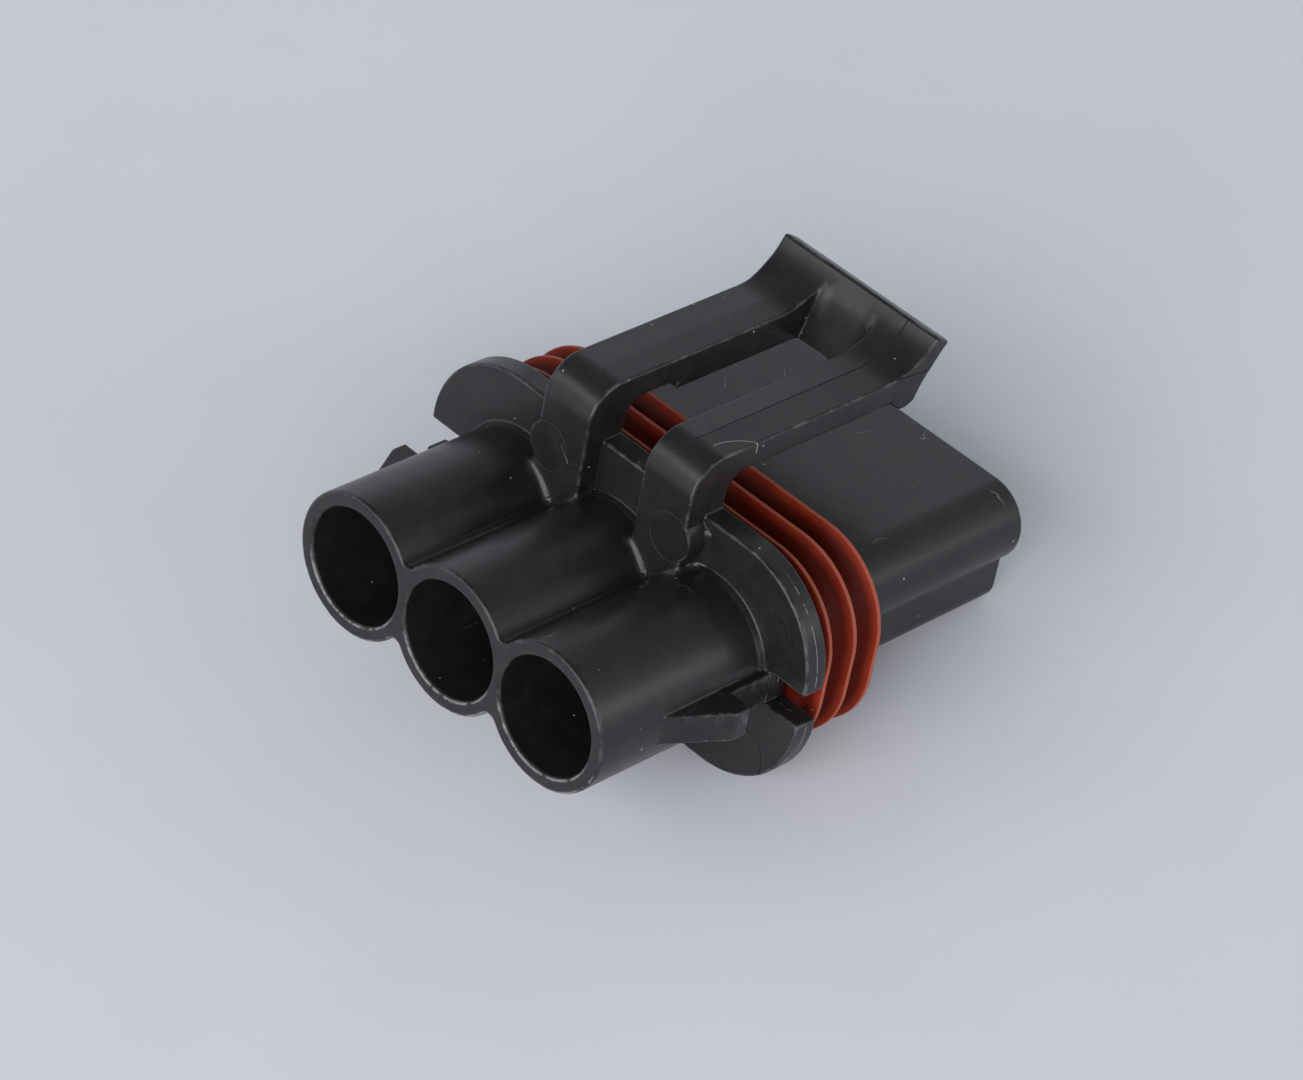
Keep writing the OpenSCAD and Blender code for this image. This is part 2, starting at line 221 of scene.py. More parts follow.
def wire_tubes(ax, y, z):
    rings = np.minimum(np.hypot(ax, z), np.hypot(ax - PITCH, z)) - TUBE_R
    reach = TUBE_R + GROOVE_R
    centre = math.sqrt(reach ** 2 - PITCH ** 2 / 4)
    across = ax - PITCH / 2
    hollow = GROOVE_R - np.hypot(across, np.abs(z) - centre)
    groove = both(np.abs(across) - PITCH / 4, np.abs(z) - centre * TUBE_R / reach, hollow)
    return both(rounded(np.minimum(rings, groove), -y, MOUTH_R), y - FLANGE_MID)


def flange(ax, y, z):
    d = rounded(block(ax, z, FLANGE_SIDE, FLANGE_TOP, FLANGE_CORNER), FLANGE_Y - y, FLANGE_REAR_R)
    d = rounded(d, y - FLANGE_FRONT, FLANGE_FACE_R)
    return rounded(d, -both(np.abs(z) - NOTCH_SIDE, RIB_SIDE - ax), NOTCH_R)


def side_ramps(ax, y, z):
    rise = RAMP_OUT + RAMP_SINK
    slope = (ax - TUBE_SIDE + RAMP_SINK) * RAMP_L - (y - CREST_Y + RAMP_L) * rise
    side = np.abs(z) - RAMP_SIDE
    ramp = rounded(slope / math.hypot(RAMP_L, rise), ax - CREST_X, CREST_R)
    ramp = rounded(rounded(ramp, y - RAMP_END, RAMP_EDGE_R), side, RAMP_EDGE_R)
    rib = rounded(ax - RIB_SIDE, side, RIB_EDGE_R)
    rib = both(rib, RAMP_END - LAP - y, y - FLANGE_Y - SMALL_LAP)
    return both(joined(ramp, rib, RAMP_ROOT_R), PITCH - ax)


def loop_underside(ax, y, z):
    """What lies in front of the posts' rear and above the underside of legs, strips and bar."""
    step = ((BAR_Y - y) + (BAR_LOW - z)) / math.sqrt(2)
    under = joined(LEG_LOW - z, both(BAR_LOW - z, step), BAR_ROOT_R)
    strip = both(BAR_LOW - z, STRIP_Y - y, ax - STRIP_SIDE)
    under = joined(under, strip, STRIP_ROOT_R)
    return joined(y - FLANGE_FRONT, under, UNDER_R)


def loop_top(ax, y, z):
    scoop = LIP_R - np.hypot(y - CURVE_Y, z - CURVE_Z)
    top = np.where((y < CURVE_Y) | (z > CURVE_Z), z - LATCH_TOP, scoop)
    return top + SEAM_SINK + CROWN_FALL * np.abs(ax - SEAM_X)


def cut_to_lip(d, y, z):
    """The loop cut off by the lip's hollow front, its slanting heel and its end."""
    across, rise = EDGE_Y - HEEL_Y, EDGE_Z - HEEL_Z
    chord = math.hypot(across, rise)
    sink = math.sqrt(LIP_FRONT_R ** 2 - chord ** 2 / 4) / chord
    hollow_y, hollow_z = HEEL_Y + across / 2 + sink * rise, HEEL_Z + rise / 2 - sink * across
    d = rounded(d, LIP_FRONT_R - np.hypot(y - hollow_y, z - hollow_z), LIP_EDGE_R)
    heel = ((y - HEEL_Y) - 2 * (z - HEEL_Z)) / math.sqrt(5)
    d = rounded(d, heel, LIP_EDGE_R)
    end = (y - TIP_Y) * math.cos(LIP_SLOPE) + (z - TIP_Z) * math.sin(LIP_SLOPE)
    return rounded(d, end, TIP_EDGE_R)


def latch_loop(ax, y, z):
    side = both(loop_underside(ax, y, z), rounded(POST_Y - y, loop_top(ax, y, z), BEND_R))
    side = cut_to_lip(side, y, z)
    wall = (z - BAR_LOW) * math.cos(WALL_SLOPE) - (y - BAR_Y) * math.sin(WALL_SLOPE)
    stepped = rounded(side, joined(WINDOW_SIDE - ax, wall, WALL_ROOT_R), WALL_EDGE_R)
    rise = FADE_RISE * eased((ax - WINDOW_SIDE) / (2 * FADE_SIDE) + 0.5)
    faded = rounded(side, wall - FADE_SINK - rise, FADE_EDGE_R)
    fade = eased((y - FADE_Y) / FADE_L)
    outer = LATCH_SIDE + FLARE * np.clip((y - FLARE_Y) / (TIP_Y - FLARE_Y), 0, 1)
    d = rounded(stepped + (faded - stepped) * fade, ax - outer, LOOP_EDGE_R + LOOP_MORE_R * fade)
    return both(d, BORE_R / 2 - z)


def post_corner(ax, y, z):
    hollow = POST_R - np.hypot(ax - LATCH_SIDE - POST_R, y - FLANGE_Y + POST_R)
    across = both(LATCH_SIDE - LAP - ax, ax - LATCH_SIDE - POST_R)
    fill = both(hollow, across, FLANGE_Y - POST_R - y, y - FLANGE_MID, TUBE_R / 2 - z)
    return rounded(fill, z - FLANGE_TOP + CORNER_DROP, CORNER_TOP_R)


def ejector_pads(ax, y, z):
    round_face = np.hypot(ax - PAD_X, z - PAD_Z) - PAD_R
    return both(rounded(round_face, POST_Y - y, PAD_EDGE_R), y - FLANGE_MID)


def nose(ax, y, z):
    slab = block(ax, z - SLAB_Z, NOSE_SIDE, SLAB_R, SLAB_R)
    half = (SLAB_Z + NOSE_LOW) / 2
    key = block(ax, z - SLAB_Z + half, KEY_SIDE, half, KEY_R)
    key = np.minimum(key, both(ax - KEY_SIDE, np.abs(z - SLAB_Z + half / 2) - half / 2))
    return both(rounded(joined(slab, key, KEY_ROOT_R), y - NOSE_Y, NOSE_EDGE_R), NOSE_BACK - y)


def hollows(ax, y, z):
    across, up = np.minimum(ax, np.abs(ax - PITCH)), np.abs(z)
    out = np.hypot(across, z) - BORE_R
    bore = both(out, y - BORE_L)
    shrink = BORE_R - CAVITY_TOP
    cone = (out * FUNNEL_L + (y - BORE_L) * shrink) / math.hypot(FUNNEL_L, shrink)
    cone = both(cone, y - BORE_L - FUNNEL_L, BORE_L - LAP - y)
    cavity = both(across - CAVITY_SIDE, up - CAVITY_TOP, y - NOSE_Y + FRONT_WALL, BORE_L - y)
    opening = both(across - SLOT_SIDE, up - SLOT_TOP)
    slot = both(opening, NOSE_Y - FRONT_WALL - SLOT_LAP - y)
    lead = both(opening - (y - NOSE_Y + SLOT_LEAD), NOSE_Y - SLOT_LEAD - y) / math.sqrt(2)
    return np.minimum(np.minimum(bore, cone), np.minimum(np.minimum(cavity, slot), lead))


def moulding(x, y, z):
    ax = np.abs(x)
    plates = joined(flange(ax, y, z), latch_loop(ax, y, z), LATCH_ROOT_R)
    plates = np.minimum(plates, post_corner(ax, y, z))
    plates = np.minimum(plates, ejector_pads(ax, y, z))
    root = ROOT_R + POST_ROOT_R * np.clip((FLANGE_Y - y) / POST_ROOT_R, 0, 1)
    d = joined(wire_tubes(ax, y, z), plates, root)
    d = joined(d, side_ramps(ax, y, z), RAMP_ROOT_R)
    neck = rounded(block(ax, z, NECK_SIDE, NECK_TOP, NECK_CORNER), y - NECK_FRONT, NECK_EDGE_R)
    d = np.minimum(d, joined(both(neck, FLANGE_MID - y), nose(ax, y, z), NECK_ROOT_R))
    edge = HOLLOW_EDGE_R + BORE_MOUTH_R * np.clip(BORE_MOUTH_L - y, 0, 1)
    return rounded(d, -hollows(ax, y, z), edge)


CORNERS = [(i, j, k) for i in (0, 1) for j in (0, 1) for k in (0, 1)]


def blocks_near(distance, low, blocks):
    """The first cells of the blocks that come near the surface."""
    where = np.stack(np.meshgrid(*[np.arange(n) for n in blocks], indexing="ij"), -1).reshape(-1, 3)
    middle = low + (where + 0.5) * BLOCK * GRID
    reach = BLOCK * GRID * math.sqrt(3) / 2 + NEAR
    return where[np.abs(distance(*middle.T)) < reach] * BLOCK


def at_corners(distance, low, base):
    """The distance at the corners of all cells in some blocks."""
    steps = np.arange(BLOCK + 1)
    x, y, z = [low[a] + (base[:, a, None] + steps) * GRID for a in range(3)]
    d = distance(x[:, :, None, None], y[:, None, :, None], z[:, None, None, :])
    return np.broadcast_to(d, (len(base),) + (BLOCK + 1,) * 3)


def cut_cells(d, base):
    """The cells that the surface passes through, and the distance at their corners."""
    corner = [d[:, i:i + BLOCK, j:j + BLOCK, k:k + BLOCK] for i, j, k in CORNERS]
    within = sum((c < 0).astype(np.int8) for c in corner)
    q, i, j, k = np.nonzero((within > 0) & (within < 8))
    return base[q] + np.stack([i, j, k], 1), np.stack([c[q, i, j, k] for c in corner], 1)


def cut_edges(d, base, axis):
    """The cells whose first edge along an axis is cut, and whether that edge starts inside."""
    shift = [slice(1, None) if a == axis else slice(0, BLOCK) for a in range(3)]
    near, beyond = d[:, :BLOCK, :BLOCK, :BLOCK] < 0, d[(slice(None), *shift)] < 0
    q, i, j, k = np.nonzero(near != beyond)
    return base[q] + np.stack([i, j, k], 1), near[q, i, j, k]


def cut_middles(values):
    """The mean of the places where the surface cuts a cell's edges, within each cell."""
    total, hits = np.zeros((len(values), 3)), np.zeros(len(values))
    for a, first in enumerate(CORNERS):
        for b, second in enumerate(CORNERS):
            if b > a and sum(np.abs(np.subtract(first, second))) == 1:
                da, db = values[:, a], values[:, b]
                cross = (da < 0) != (db < 0)
                share = np.where(cross, da / np.where(cross, da - db, 1), 0)
                spot = np.array(first) + share[:, None] * np.subtract(second, first)
                total += np.where(cross[:, None], spot, 0)
                hits += cross
    return total / hits[:, None]


def faces_across(edges, axis, index_of):
    """The face across each cut edge: the four cells around it, turned to look outwards."""
    cells = np.concatenate([cell for cell, _ in edges])
    inside = np.concatenate([start for _, start in edges])
    ring = []
    for back_u, back_v in ((0, 0), (1, 0), (1, 1), (0, 1)):
        at = cells.copy()
        at[:, (axis + 1) % 3] -= back_u
        at[:, (axis + 2) % 3] -= back_v
        ring.append(index_of(at))
    ring = np.stack(ring, 1)
    ring[~inside] = ring[~inside, ::-1]
    return ring


def skin(distance, low, high):
    """The points and four-sided faces of the surface where distance is 0."""
    low = np.array(low, float)
    blocks = np.ceil((np.array(high) - low) / (GRID * BLOCK)).astype(int)
    near = blocks_near(distance, low, blocks)
    cells, values, edges = [], [], ([], [], [])
    for start in range(0, len(near), BATCH):
        base = near[start:start + BATCH]
        d = at_corners(distance, low, base)
        found, corners = cut_cells(d, base)
        cells.append(found)
        values.append(corners)
        for axis in range(3):
            edges[axis].append(cut_edges(d, base, axis))

    def number(at):
        return np.ravel_multi_index(at.T, blocks * BLOCK)

    cells, values = np.concatenate(cells), np.concatenate(values)
    order = np.argsort(number(cells))
    cells, values = cells[order], values[order]
    ids = number(cells)
    points = low + (cells + cut_middles(values)) * GRID

    def index_of(at):
        return np.searchsorted(ids, number(at))

    return points, np.concatenate([faces_across(edges[axis], axis, index_of) for axis in range(3)])


def steepest(distance, points, step=0.02):
    """The slope of the distance, which is the surface's normal where it is 0."""
    slope = np.empty_like(points)
    for axis in range(3):
        shift = np.zeros(3)
        shift[axis] = step
        slope[:, axis] = distance(*(points + shift).T) - distance(*(points - shift).T)
    return slope / (2 * step)


def settled(distance, points, limit=0.05, least_slope=0.5):
    """The points moved onto the surface, by no more than limit in each of two rounds."""
    for _ in range(2):
        slope = steepest(distance, points)
        squared = np.maximum((slope ** 2).sum(1), least_slope ** 2)
        move = -slope * (distance(*points.T) / squared)[:, None]
        size = np.maximum(np.linalg.norm(move, axis=1), 1e-9)
        points = points + move * np.minimum(1, limit / size)[:, None]
    return points


def mesh_of(name, points, faces):
    mesh = bpy.data.meshes.new(name)
    faces = np.asarray(faces)
    sides = faces.shape[1]
    mesh.vertices.add(len(points))
    mesh.loops.add(faces.size)
    mesh.polygons.add(len(faces))
    mesh.vertices.foreach_set("co", np.asarray(points, np.float32).ravel())
    mesh.loops.foreach_set("vertex_index", faces.astype(np.int32).ravel())
    mesh.polygons.foreach_set("loop_start", np.arange(0, faces.size, sides, dtype=np.int32))
    mesh.update(calc_edges=True)
    mesh.validate()
    return mesh


def vertices_of(mesh):
    flat = np.empty(len(mesh.vertices) * 3, np.float32)
    mesh.vertices.foreach_get("co", flat)
    return flat.reshape(-1, 3).astype(float)


def curvature(distance, points, reach=0.12):
    """How sharply the surface bends, in 1 / mm: positive on outer edges, negative in corners."""
    total = -6 * distance(*points.T)
    for axis in range(3):
        shift = np.zeros(3)
        shift[axis] = reach
        total += distance(*(points + shift).T) + distance(*(points - shift).T)
    return total / reach ** 2


def set_places(mesh, level):
    """Puts the mesh in the row, and keeps its level places for its material."""
    mesh.vertices.foreach_set("co", row(level).astype(np.float32).ravel())
    kept = mesh.attributes.new("level", "FLOAT_VECTOR", "POINT")
    kept.data.foreach_set("vector", level.astype(np.float32).ravel())


def keep_values(mesh, name, values):
    """Keeps a number at each of the mesh's points for its material."""
    kept = mesh.attributes.new(name, "FLOAT", "POINT")
    kept.data.foreach_set("value", values.astype(np.float32))


def placed(name, mesh, level, normals, bend):
    """The mesh in the row, smooth shaded, with how sharply the surface bends at each point."""
    set_places(mesh, level)
    keep_values(mesh, "bend", bend)
    mesh.polygons.foreach_set("use_smooth", np.ones(len(mesh.polygons), bool))
    mesh.update()
    mesh.normals_split_custom_set_from_vertices(row_direction(normals).tolist())
    piece = bpy.data.objects.new(name, mesh)
    bpy.context.scene.collection.objects.link(piece)
    return piece


def build_moulding():
    low = (-FLANGE_SIDE - MARGIN, -MARGIN, -FLANGE_TOP - MARGIN)
    high = (FLANGE_SIDE + MARGIN, NOSE_Y + MARGIN, TIP_Z + MARGIN)
    points, faces = skin(moulding, low, high)
    rough = bpy.data.objects.new("rough", mesh_of("rough", settled(moulding, points), faces))
    bpy.context.scene.collection.objects.link(rough)
    thin = rough.modifiers.new("thin", "DECIMATE")
    thin.ratio = TRIANGLES / (2 * len(faces))
    thinned = rough.evaluated_get(bpy.context.evaluated_depsgraph_get())
    mesh = bpy.data.meshes.new_from_object(thinned)
    bpy.data.objects.remove(rough)
    level = settled(moulding, vertices_of(mesh))
    normals = steepest(moulding, level)
    normals /= np.maximum(np.linalg.norm(normals, axis=1), 1e-6)[:, None]
    piece = placed("moulding", mesh, level, normals, curvature(moulding, level))
    piece.data.materials.append(plastic())
    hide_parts("housing", "latch")
    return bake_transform(piece)


def seal_outline():
    """The ring's cross-section as (along, out) points, out from the corner centres."""
    foot, groove = SEAL_CORNER - SEAL_WALL, SEAL_CORNER - RIB_DEPTH
    side = RIB_PITCH / 2 - GROOVE_FLOOR
    points = [(0.0, foot), (0.0, groove)]
    for along in np.linspace(SEAL_EDGE, SEAL_L - SEAL_EDGE, PROFILE_POINTS):
        off = min(abs(along - SEAL_L + RIB_FRONT + n * RIB_PITCH) for n in range(RIBS))
        fall = min(max((off - RIB_CREST) / (side - RIB_CREST), 0), 1)
        points.append((along, SEAL_CORNER - RIB_DEPTH * math.sin(math.pi / 2 * fall)))
    return points + [(SEAL_L, groove + 2 * SEAL_EDGE), (SEAL_L, foot)]


def around_ring():
    """The middle of its corner and the direction outwards, both as X and Z, for each place around
    the ring."""
    centre_x, centre_z = SEAL_SIDE - SEAL_CORNER, SEAL_TOP - SEAL_CORNER
    places = []
    for quarter, (sx, sz) in enumerate(((1, 1), (-1, 1), (-1, -1), (1, -1))):
        for step in range(CORNER_STEPS + 1):
            angle = math.pi / 2 * (quarter + step / CORNER_STEPS)
            places.append((sx * centre_x, sz * centre_z, math.cos(angle), math.sin(angle)))
    return np.array(places)


def build_seal():
    outline, spots = np.array(seal_outline()), around_ring()
    count, around = len(outline), len(spots)
    along = np.broadcast_to(FLANGE_FRONT + outline[None, :, 0], (around, count))
    x = spots[:, None, 0] + spots[:, None, 2] * outline[None, :, 1]
    z = spots[:, None, 1] + spots[:, None, 3] * outline[None, :, 1]
    level = np.stack([x, along, z], -1).reshape(-1, 3)
    a = np.arange(around)[:, None] * count + np.arange(count)[None, :]
    b, c = np.roll(a, -1, 0), np.roll(np.roll(a, -1, 0), -1, 1)
    faces = np.stack([a, np.roll(a, -1, 1), c, b], -1).reshape(-1, 4)
    mesh = mesh_of("seal ring", level, faces)
    set_places(mesh, level)
    keep_values(mesh, "rib", np.tile((outline[:, 1] - SEAL_CORNER + RIB_DEPTH) / RIB_DEPTH, around))
    mesh.update()
    mesh.shade_smooth()
    piece = bpy.data.objects.new("seal_ring", mesh)
    bpy.context.scene.collection.objects.link(piece)
    piece.data.materials.append(rubber())
    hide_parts("seal")
    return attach(piece, "root")


class Field:
    """A number that a material's nodes work out at each point of a surface."""

    def __init__(self, tree, socket):
        self.tree, self.socket = tree, socket

    def math(self, operation, *others):
        node = self.tree.nodes.new("ShaderNodeMath")
        node.operation = operation
        for place, value in enumerate((self,) + others):
            if isinstance(value, Field):
                self.tree.links.new(value.socket, node.inputs[place])
            else:
                node.inputs[place].default_value = value
        return Field(self.tree, node.outputs[0])

    def __add__(self, other):
        return self.math("ADD", other)

    def __sub__(self, other):
        return self.math("SUBTRACT", other)

    def __mul__(self, other):
        return self.math("MULTIPLY", other)

    def __abs__(self):
        return self.math("ABSOLUTE")

    def or_more(self, other):
        return self.math("MAXIMUM", other)

    def steps(self, start, end):
        """0 before start, 1 past end and smooth between them; start may be the larger."""
        node = self.tree.nodes.new("ShaderNodeMapRange")
        node.interpolation_type = "SMOOTHSTEP"
        node.inputs["From Min"].default_value = start
        node.inputs["From Max"].default_value = end
        self.tree.links.new(self.socket, node.inputs["Value"])
        return Field(self.tree, node.outputs[0])

    def between(self, low, high, soft=0.05):
        return self.steps(low - soft, low + soft) * self.steps(high + soft, high - soft)

    def line(self, at, half_width):
        """1 along the line where the field has the value at."""
        return abs(self - at).steps(half_width * 1.6, half_width * 0.4)


def new_material(name):
    material = bpy.data.materials.new(name)
    material.use_nodes = True
    tree = material.node_tree
    return material, tree, tree.nodes["Principled BSDF"]


def stored(tree, name):
    node = tree.nodes.new("ShaderNodeAttribute")
    node.attribute_name = name
    return node


def level_fields(tree):
    """The level place as a vector socket and as three fields."""
    place = stored(tree, "level").outputs["Vector"]
    split = tree.nodes.new("ShaderNodeSeparateXYZ")
    tree.links.new(place, split.inputs[0])
    return place, [Field(tree, socket) for socket in split.outputs]


def noise(tree, place, scale, detail=4.0, roughness=0.55):
    node = tree.nodes.new("ShaderNodeTexNoise")
    node.inputs["Scale"].default_value = scale
    node.inputs["Detail"].default_value = detail
    node.inputs["Roughness"].default_value = roughness
    tree.links.new(place, node.inputs["Vector"])
    return Field(tree, node.outputs["Fac"])


def specks(tree, place, scale, size, share):
    """Small round grains, size across in the scaled space, in a share of the cells."""
    node = tree.nodes.new("ShaderNodeTexVoronoi")
    node.inputs["Scale"].default_value = scale
    tree.links.new(place, node.inputs["Vector"])
    split = tree.nodes.new("ShaderNodeSeparateColor")
    tree.links.new(node.outputs["Color"], split.inputs[0])
    chosen, big = Field(tree, split.outputs[0]), Field(tree, split.outputs[1])
    close = Field(tree, node.outputs["Distance"]) - big * size
    return close.steps(0.3 * size, 0.0) * chosen.steps(share, share - 0.02)


def vector_math(tree, operation, *vectors):
    """A node that works on vectors; each is a socket or three numbers."""
    node = tree.nodes.new("ShaderNodeVectorMath")
    node.operation = operation
    for place, vector in enumerate(vectors):
        if isinstance(vector, tuple):
            node.inputs[place].default_value = vector
        else:
            tree.links.new(vector, node.inputs[place])
    return node


def short_hairs(tree, place, scale, reach, share, curl=0.9):
    """Thin curved hairs, each through the middle of a cell, in a share of the cells."""
    cell = tree.nodes.new("ShaderNodeTexVoronoi")
    cell.inputs["Scale"].default_value = scale
    tree.links.new(place, cell.inputs["Vector"])
    chance = cell.outputs["Color"]
    offset = vector_math(tree, "SUBTRACT", place, cell.outputs["Position"]).outputs["Vector"]
    facing = vector_math(tree, "SUBTRACT", chance, (0.5, 0.5, 0.5)).outputs["Vector"]
    facing = vector_math(tree, "NORMALIZE", facing).outputs["Vector"]
    across = Field(tree, vector_math(tree, "DOT_PRODUCT", offset, facing).outputs["Value"])
    across = across + (noise(tree, place, scale=0.9, detail=1.0) - 0.5) * curl
    split = tree.nodes.new("ShaderNodeSeparateColor")
    tree.links.new(chance, split.inputs[0])
    chosen = Field(tree, split.outputs[2]).steps(share, share - 0.02)
    near = Field(tree, cell.outputs["Distance"]).steps(reach, reach - 0.06)
    return across.line(0.0, FIBRE_T / 2) * near * chosen


def mixed(tree, share, first, second):
    """Two colours mixed by a field; each is a socket or three numbers."""
    node = tree.nodes.new("ShaderNodeMix")
    node.data_type = "RGBA"
    tree.links.new(share.socket, node.inputs[0])
    for place, colour in ((6, first), (7, second)):
        if isinstance(colour, tuple):
            node.inputs[place].default_value = (*colour, 1)
        else:
            tree.links.new(colour, node.inputs[place])
    return node.outputs[2]


def bumped(tree, shader, height, depth):
    """Sets the shader's bump from a field of heights, where 1 is depth in metres."""
    node = tree.nodes.new("ShaderNodeBump")
    node.inputs["Distance"].default_value = depth
    tree.links.new(height.socket, node.inputs["Height"])
    tree.links.new(node.outputs["Normal"], shader.inputs["Normal"])


def mould_seams(x, y, z):
    """The thin lines where the halves of the mould met."""
    ax = abs(x)
    on_top = z.steps(LATCH_TOP - 0.6, LATCH_TOP - 0.3) * y.steps(POST_Y + 0.9, POST_Y + 1.3)
    tops = ax.line(SEAM_X, SEAM_W) * on_top * x.steps(-0.2, 0.2).or_more(LEFT_SEAM)
    sides = ax.steps(LATCH_SIDE - 0.06, LATCH_SIDE - 0.02)
    lip = z.line(LIP_SEAM_Z, LIP_SEAM_W) * sides * y.steps(CURVE_Y + 0.6, CURVE_Y + 0.9)
    post = z.line(POST_SEAM_Z, POST_SEAM_W) * sides * y.steps(FLANGE_FRONT + 0.3, FLANGE_FRONT)
    to_end = (y - TIP_Y) * math.cos(LIP_SLOPE) + (z - TIP_Z) * math.sin(LIP_SLOPE)
    end = to_end.line(END_SEAM, END_SEAM_W) * y.steps(TIP_Y + 0.25, TIP_Y + 0.1)
    return tops.or_more(lip).or_more(post).or_more(end)


def pin_marks(x, y, z):
    """The rings that ejector pins left on the flange's rear face and on the posts."""
    marks = None
    for pin_x, pin_z, radius, face, depth in PINS:
        across, up = abs(x) - pin_x, z - pin_z
        ring = (across * across + up * up).math("SQRT").line(radius, PIN_W) * depth
        ring = ring * y.between(face - 0.2, face + 0.07)
        marks = ring if marks is None else marks.or_more(ring)
    return marks


def fibre(x, y, z):
    """A longer pale hair that lies over the top of the right leg, close to its bend."""
    across, along = x - FIBRE_X, y - FIBRE_Y
    arc = (across * across + along * along).math("SQRT").line(FIBRE_R, FIBRE_T / 2)
    high = z.steps(LATCH_TOP - 0.9, LATCH_TOP - 0.6)
    return arc * high * x.steps(SEAM_X + 0.5, SEAM_X + 1) * y.between(FIBRE_Y, FIBRE_Y + 2.5)


def away_from_wall(x, y):
    """0 on the wall behind the latch window and 1 elsewhere, as the wall's edges aren't worn."""
    return abs(x).steps(WINDOW_SIDE + 0.4, WINDOW_SIDE + 1).or_more(y.steps(FADE_Y, FADE_Y - 0.5))


def on_rim(x, bend):
    """1 on the outer parts of the flange's rim."""
    return bend.steps(0.6, 0.0) * abs(x).steps(RIM_X, RIM_X + 2)


def chips_and_mouth_highlight(x, y, z, bend, patches):
    """The thin chips along the flange's rim, and a painted highlight along the lower edges of the
    tubes' mouths, where their outer rounding would reflect the pale floor.
    """
    rim = y.line(FLANGE_MID + 0.03, 0.03) * on_rim(x, bend) * patches.steps(0.4, 0.5)
    # Painted highlight: a pale line on the lower halves of the mouths' outer rounding, where it
    # would reflect the pale floor.
    mouth_highlight = y.line(0.05, 0.03) * bend.steps(1.0, 3.0) * z.steps(-0.5, -2.0)
    return rim.or_more(mouth_highlight * patches.steps(0.42, 0.56) * 0.7)


def loose_dust(tree, place, x, y, z):
    """Pale grains and hairs that lie on the part."""
    dust = specks(tree, place, scale=0.85, size=0.05, share=0.55)
    dust = dust.or_more(specks(tree, place, scale=2.4, size=0.045, share=0.3))
    hairs = short_hairs(tree, place, scale=0.5, reach=0.32, share=0.09) * 0.3
    return dust.or_more(hairs).or_more(fibre(x, y, z))


def plastic():
    material, tree, shader = new_material("moulded plastic")
    place, (x, y, z) = level_fields(tree)
    bend = Field(tree, stored(tree, "bend").outputs["Fac"])
    cloud = noise(tree, place, scale=0.22)
    patches = noise(tree, place, scale=1.1, detail=6.0, roughness=0.65)
    grain = noise(tree, place, scale=14.0, detail=2.0)
    warm = noise(tree, place, scale=0.8).steps(0.5, 0.7)
    marks = mould_seams(x, y, z).or_more(pin_marks(x, y, z))
    rim_line = y.line(FLANGE_MID + 0.1, 0.04) * on_rim(x, bend)
    worn = bend.steps(2.2, 5.5) * patches.steps(0.42, 0.66) * away_from_wall(x, y)
    grit = specks(tree, place, scale=5.0, size=0.06, share=0.3) * patches.steps(0.52, 0.62)
    grit = grit * y.steps(FLANGE_FRONT, 9)

    colour = mixed(tree, cloud.steps(0.3, 0.7), BLACK_DEEP, BLACK_PALE)
    colour = mixed(tree, patches.steps(0.5, 0.75) * 0.35, colour, BLACK_PATCH)
    colour = mixed(tree, warm * 0.5, colour, BLACK_WARM)
    colour = mixed(tree, worn * 0.55, colour, EDGE_GREY)
    colour = mixed(tree, marks.or_more(rim_line) * 0.9, colour, LINE_BLACK)
    # Real chips on the flange's rim, and a painted highlight on the lower edges of the tubes'
    # mouths.
    colour = mixed(tree, chips_and_mouth_highlight(x, y, z, bend, patches) * 0.8, colour, CHIP_AND_HIGHLIGHT_GREY)
    colour = mixed(tree, grit * 0.7, colour, GRIT_BROWN)
    colour = mixed(tree, loose_dust(tree, place, x, y, z) * 0.7, colour, LINT_GREY)
    tree.links.new(colour, shader.inputs["Base Color"])
    shader.inputs["Specular IOR Level"].default_value = 0.38
    polished = bend.steps(-0.8, -2.0) * y.between(POST_Y - 0.5, FLANGE_FRONT)
    rough = patches * 0.16 + 0.25 - polished * 0.14 + marks * 0.6
    tree.links.new((rough + worn * 0.1).socket, shader.inputs["Roughness"])
    height = grain * 0.05 + patches * 0.12 - marks * 0.8
    bumped(tree, shader, height, BUMP_DEPTH)
    return material


def rubber():
    material, tree, shader = new_material("seal rubber")
    place, _ = level_fields(tree)
    cloud = noise(tree, place, scale=0.5)
    patches = noise(tree, place, scale=2.2, detail=6.0, roughness=0.65)
    dust = specks(tree, place, scale=1.6, size=0.05, share=0.5)
    crest = Field(tree, stored(tree, "rib").outputs["Fac"])
    colour = mixed(tree, cloud.steps(0.3, 0.7), RED_DEEP, RED_PALE)
    colour = mixed(tree, patches.steps(0.5, 0.8) * 0.35, colour, RED_PATCH)
    # Painted shade: the colour darkens down into the grooves between the ribs.
    colour = mixed(tree, crest.steps(0.97, 0.35) * 0.85, colour, RED_GROOVE_SHADE)
    # Painted highlight: a pale line along each rib's crest.
    colour = mixed(tree, crest.steps(0.93, 1.0) * 0.6, colour, RED_CREST_HIGHLIGHT)
    colour = mixed(tree, dust * 0.8, colour, RED_DUST)
    tree.links.new(colour, shader.inputs["Base Color"])
    shader.inputs["IOR"].default_value = 1.14
    tree.links.new((patches * 0.2 + 0.3).socket, shader.inputs["Roughness"])
    bumped(tree, shader, patches * 0.2, BUMP_DEPTH)
    return material


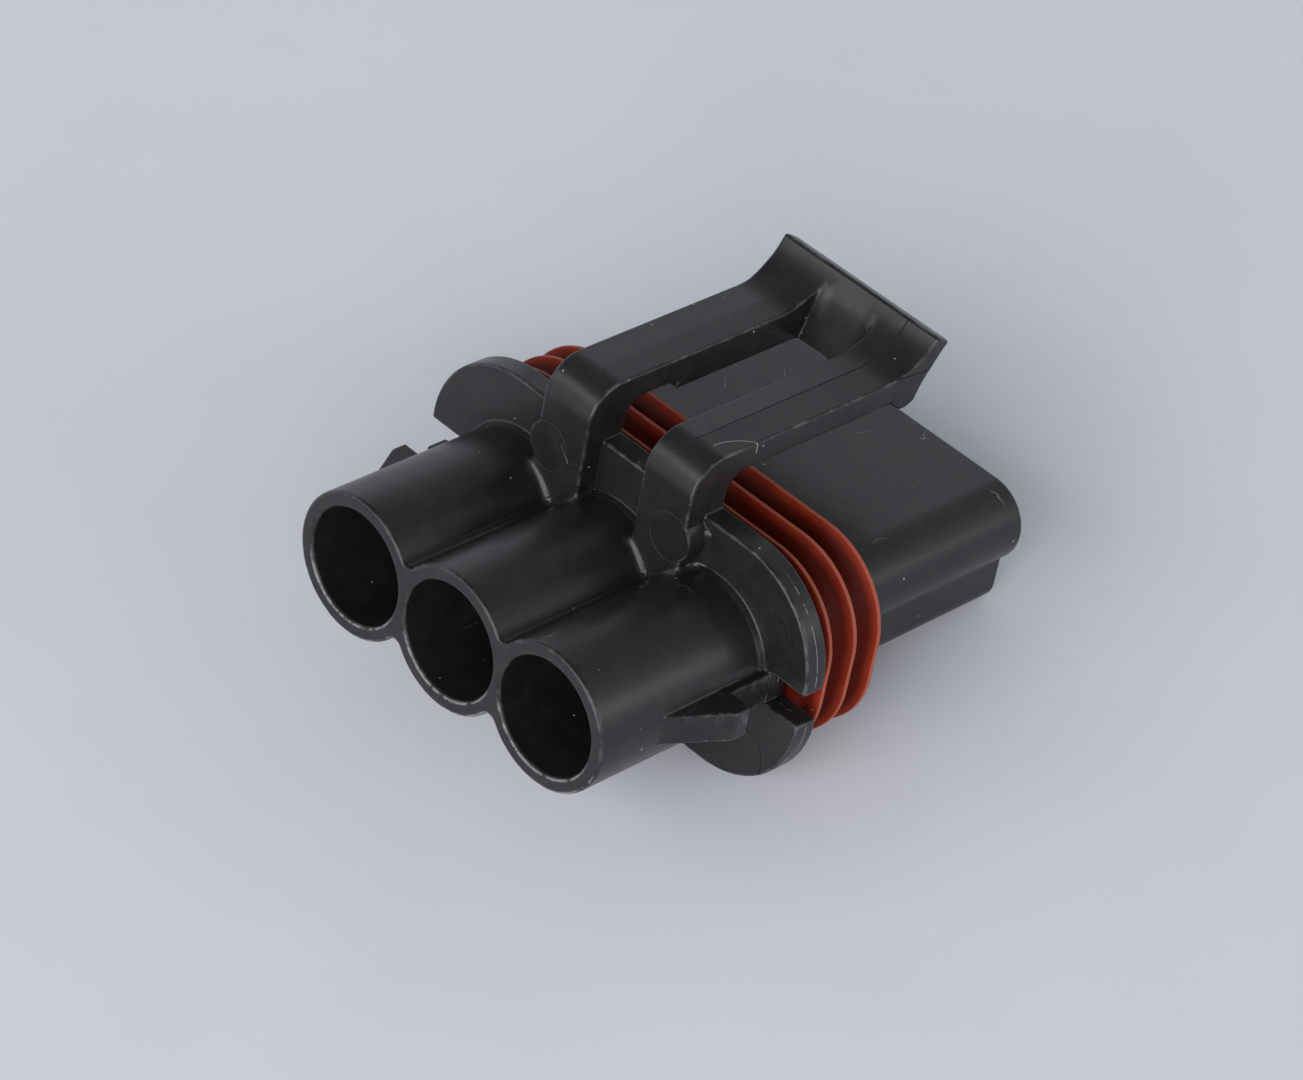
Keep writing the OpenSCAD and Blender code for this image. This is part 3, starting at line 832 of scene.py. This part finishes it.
def build_floor():
    mesh = bpy.data.meshes.new("floor")
    half = FLOOR_HALF
    corners = [(-half, -half, 0), (half, -half, 0), (half, half, 0), (-half, half, 0)]
    mesh.from_pydata(corners, [], [(0, 1, 2, 3)])
    floor = bpy.data.objects.new("floor", mesh)
    bpy.context.scene.collection.objects.link(floor)
    material, tree, shader = new_material("pale floor")
    place = tree.nodes.new("ShaderNodeTexCoord").outputs["Object"]
    mottle = noise(tree, place, scale=60.0).steps(0.3, 0.7)
    colour = mixed(tree, mottle, FLOOR_DEEP, FLOOR_PALE)
    tree.links.new(colour, shader.inputs["Base Color"])
    shader.inputs["Roughness"].default_value = 0.7
    floor.data.materials.append(material)
    floor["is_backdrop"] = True


def softbox(name, azimuth, elevation, size, power):
    """A soft lamp that faces the part. Azimuth 0 is along +Y and 90 along +X, in degrees."""
    around, up = math.radians(azimuth), math.radians(elevation)
    aim = Vector((math.sin(around) * math.cos(up), math.cos(around) * math.cos(up), math.sin(up)))
    lamp = bpy.data.lights.new(name, "AREA")
    lamp.shape, lamp.energy = "RECTANGLE", power
    lamp.size, lamp.size_y = size
    holder = bpy.data.objects.new(name, lamp)
    holder.location = aim * LAMP_DISTANCE
    holder.rotation_euler = (-aim).to_track_quat("-Z", "Y").to_euler()
    bpy.context.scene.collection.objects.link(holder)


def build_lights():
    """A room that is paler towards its walls than overhead, and three softboxes."""
    scene = bpy.context.scene
    scene.view_settings.view_transform = "Standard"
    world = bpy.data.worlds.new("room")
    world.use_nodes = True
    tree = world.node_tree
    split = tree.nodes.new("ShaderNodeSeparateXYZ")
    tree.links.new(tree.nodes.new("ShaderNodeTexCoord").outputs["Generated"], split.inputs[0])
    strength = Field(tree, split.outputs[2]).steps(0.8, 0.3) * (WALL_LIGHT - TOP_LIGHT) + TOP_LIGHT
    tree.links.new(strength.socket, tree.nodes["Background"].inputs["Strength"])
    tree.nodes["Background"].inputs["Color"].default_value = (*ROOM_COLOUR, 1)
    scene.world = world
    softbox("softbox right", azimuth=70, elevation=15, size=(0.75, 0.28), power=2.1)
    softbox("softbox front", azimuth=160, elevation=27, size=(1.1, 0.77), power=9.6)
    softbox("softbox left", azimuth=-145, elevation=36, size=(0.6, 0.3), power=1.3)


def build_camera():
    data = bpy.data.cameras.new("camera")
    data.sensor_width = 36
    data.lens = 133.37
    data.clip_start, data.clip_end = 0.01, 10
    camera = bpy.data.objects.new("camera", data)
    camera.location = (0.139257, -0.138524, 0.195747)
    camera.rotation_euler = Euler([math.radians(a) for a in (46.1241, -1.2972, 46.6217)])
    bpy.context.scene.collection.objects.link(camera)
    bpy.context.scene.camera = camera


build_moulding()
build_seal()
build_floor()
build_lights()
build_camera()

boxes = {"cad": CAD_BOUNDS, "dressed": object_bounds()}
{name: [list(corner) for corner in box] for name, box in boxes.items()}
